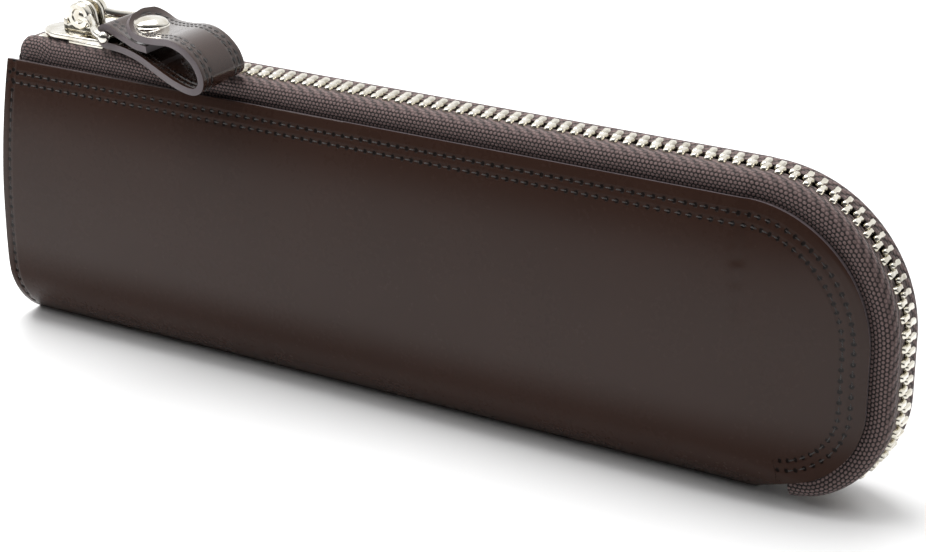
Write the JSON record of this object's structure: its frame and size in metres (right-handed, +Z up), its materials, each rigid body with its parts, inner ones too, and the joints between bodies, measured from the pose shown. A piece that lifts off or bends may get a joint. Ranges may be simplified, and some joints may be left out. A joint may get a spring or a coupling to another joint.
{
  "type": "fountain pen case",
  "caption": "Slim glossy leather pen case with an L-shaped metal zip along the top and right end, a gusseted left end and a riveted leather pull strap on the slider",
  "frame": {"origin": "on the flat base strip that the case stands on, in the middle of its width and midway along the whole length of the case", "axes": "+X along the case from the gusset to the right end, -Y towards the front panel, +Z up"},
  "size_m": [0.1997, 0.0306, 0.0713],
  "materials": {
    "skin_leather": "glossy smooth dark brown",
    "strap_leather": "glossy smooth dark brown with lighter cut edges",
    "lining": "matte suede",
    "zip_tape": "woven herringbone",
    "nickel_teeth": "bright nickel",
    "nickel_slider": "bright nickel",
    "thread": "twisted thread"
  },
  "bodies": {
    "case": {"leather_back": "skin_leather", "lining_back": "lining", "end_gusset": "skin_leather", "gusset_lining": "lining", "zip_tape_back": "zip_tape", "zip_teeth_back": "nickel_teeth", "top_stop_back": "nickel_teeth", "top_stop_front": "nickel_teeth", "bottom_stop": "nickel_teeth", "outer_stitches_back": "thread", "inner_stitches_back": "thread", "gusset_stitches_back": "thread"},
    "front_panel": {"leather_front": "skin_leather", "lining_front": "lining", "zip_tape_front": "zip_tape", "zip_teeth_front": "nickel_teeth", "outer_stitches_front": "thread", "inner_stitches_front": "thread", "gusset_stitches_front": "thread"},
    "slider": {"slider_body": "nickel_slider", "slider_crown": "nickel_slider", "lock_spring": "nickel_slider"},
    "puller": {"puller": "nickel_slider"},
    "strap": {"pull_strap": "strap_leather", "stud_cap": "nickel_slider", "stud_post": "nickel_slider", "strap_stitches": "thread"}
  },
  "joints": [
    {"name": "mouth", "type": "hinge", "parent": "case", "child": "front_panel", "pos_m": [0, -0.0032, 0], "axis": [1, 0, 0], "range_deg": [0, 12], "deforming": ["zip_tape_front", "zip_teeth_front"]},
    {"name": "slider_run", "type": "slide", "parent": "case", "child": "slider", "axis": [1, 0, 0], "range_m": [0, 0.14], "deforming": ["zip_tape_back", "zip_teeth_back"]},
    {"name": "puller_swing", "type": "hinge", "parent": "slider", "child": "puller", "pos_m": [-0.0838, 0, 0.068], "axis": [0, -1, 0], "range_deg": [0, 120]},
    {"name": "strap_swing", "type": "hinge", "parent": "puller", "child": "strap", "pos_m": [-0.0737, 0, 0.066], "axis": [0, -1, 0], "range_deg": [0, 60]}
  ],
  "couplings": [
    {"joint": "slider_run", "follows": "mouth", "m_per_rad": 0.668}
  ]
}
